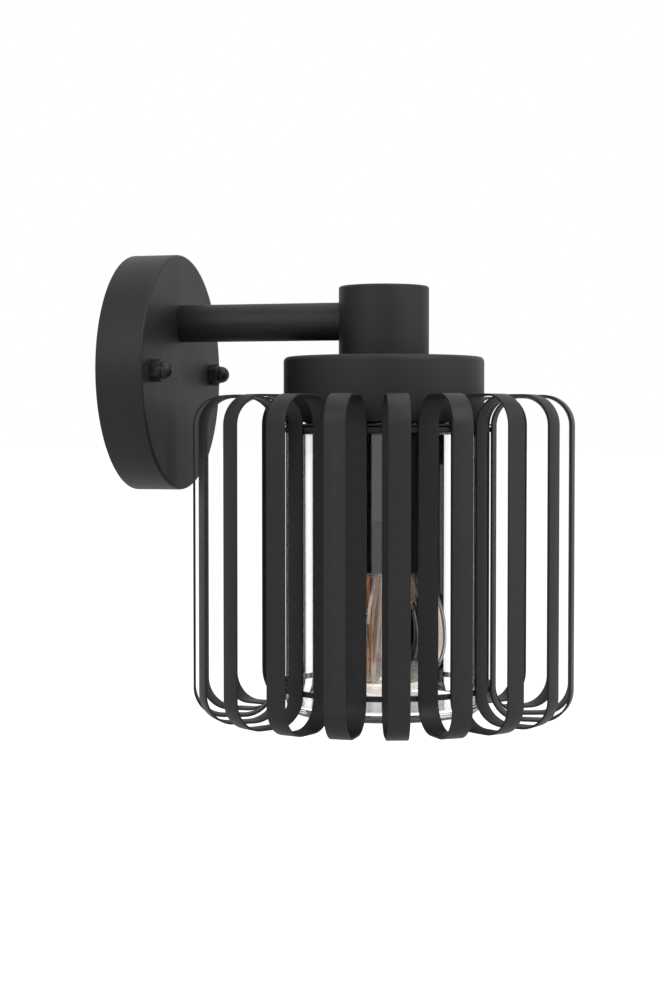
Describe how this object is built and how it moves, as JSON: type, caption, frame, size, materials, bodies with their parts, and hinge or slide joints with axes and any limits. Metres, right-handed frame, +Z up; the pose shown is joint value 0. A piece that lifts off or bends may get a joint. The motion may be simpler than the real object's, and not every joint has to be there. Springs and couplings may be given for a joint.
{
  "type": "cage wall light",
  "caption": "Wall light with a round canopy, tube arm and drum cap over a clear glass jar, caged by upright loops of flat strip.",
  "frame": {"origin": "centre of the canopy's back on the wall plane, which is also the centre of the bracket's slot pattern", "axes": "+Z up along the wall, +Y into the wall, -Y out into the room, +X to the right as seen from the room"},
  "size_m": [0.19, 0.225, 0.2321],
  "materials": {
    "black_metal": "satin",
    "zinc_steel": "satin",
    "brass": "satin",
    "copper": "satin",
    "earth_green": "gloss",
    "black_plastic": "matte",
    "black_insulation": "gloss",
    "white_insulation": "gloss",
    "orange_plastic": "gloss",
    "seal_rubber": "matte",
    "clear_glass": "clear",
    "amber_glass": "clear",
    "stem_glass": "clear",
    "base_insulator": "gloss",
    "aluminium": "brushed",
    "solder": "satin",
    "hook_wire": "satin",
    "filament_wire": "satin"
  },
  "bodies": {
    "fixture": {"canopy_cover": "black_metal", "mounting_bracket": "zinc_steel", "canopy_studs": "zinc_steel", "stud_lock_nuts": "zinc_steel", "earth_screw": "earth_green", "earth_wire": "copper", "live_wire": "black_insulation", "neutral_wire": "white_insulation", "wire_connectors": "orange_plastic", "arm_tube": "black_metal", "arm_plug": "zinc_steel", "arm_nipple": "zinc_steel", "nipple_washers": "zinc_steel", "nipple_nuts": "zinc_steel", "socket_cup": "black_metal", "cup_bridge": "zinc_steel", "lamp_nipple": "zinc_steel", "drum_cap": "black_metal", "jar_fitter": "aluminium", "holder_sleeve": "black_metal", "socket_cap": "black_plastic", "socket_body": "black_plastic", "screw_shell": "brass", "centre_contact": "brass", "terminal_screws": "brass", "cage_top_plate": "black_metal", "cage_tab_screws": "zinc_steel", "cage_top_ring": "black_metal", "cage_bottom_ring": "black_metal", "jar_seal": "seal_rubber", "cage_loop_01": "black_metal", "cage_loop_02": "black_metal", "cage_loop_03": "black_metal", "cage_loop_04": "black_metal", "cage_loop_05": "black_metal", "cage_loop_06": "black_metal", "cage_loop_07": "black_metal", "cage_loop_08": "black_metal", "cage_loop_09": "black_metal", "cage_loop_10": "black_metal", "cage_loop_11": "black_metal", "cage_loop_12": "black_metal", "cage_loop_13": "black_metal", "cage_loop_14": "black_metal", "cage_loop_15": "black_metal", "cage_loop_16": "black_metal", "cage_loop_17": "black_metal", "cage_loop_18": "black_metal", "cage_loop_19": "black_metal", "cage_loop_20": "black_metal"},
    "jar": {"glass_jar": "clear_glass"},
    "lamp": {"lamp_glass": "amber_glass", "lamp_base": "brass", "lamp_insulator": "base_insulator", "lamp_contact": "solder", "lamp_stem": "stem_glass", "filament_supports": "hook_wire", "filament": "filament_wire"},
    "left_nut": {"left_cap_nut": "black_metal"},
    "right_nut": {"right_cap_nut": "black_metal"}
  },
  "joints": [
    {"name": "jar_lower", "type": "slide", "parent": "fixture", "child": "jar", "axis": [0, 0, -1], "range_m": [0, 0.16]},
    {"name": "lamp_turn", "type": "hinge", "parent": "fixture", "child": "lamp", "pos_m": [0, -0.13, -0.07], "axis": [0, 0, 1], "continuous": true},
    {"name": "left_nut_turn", "type": "hinge", "parent": "fixture", "child": "left_nut", "pos_m": [-0.0442, -0.03, 0], "axis": [0, -1, 0], "continuous": true},
    {"name": "right_nut_turn", "type": "hinge", "parent": "fixture", "child": "right_nut", "pos_m": [0.0442, -0.03, 0], "axis": [0, -1, 0], "continuous": true}
  ]
}
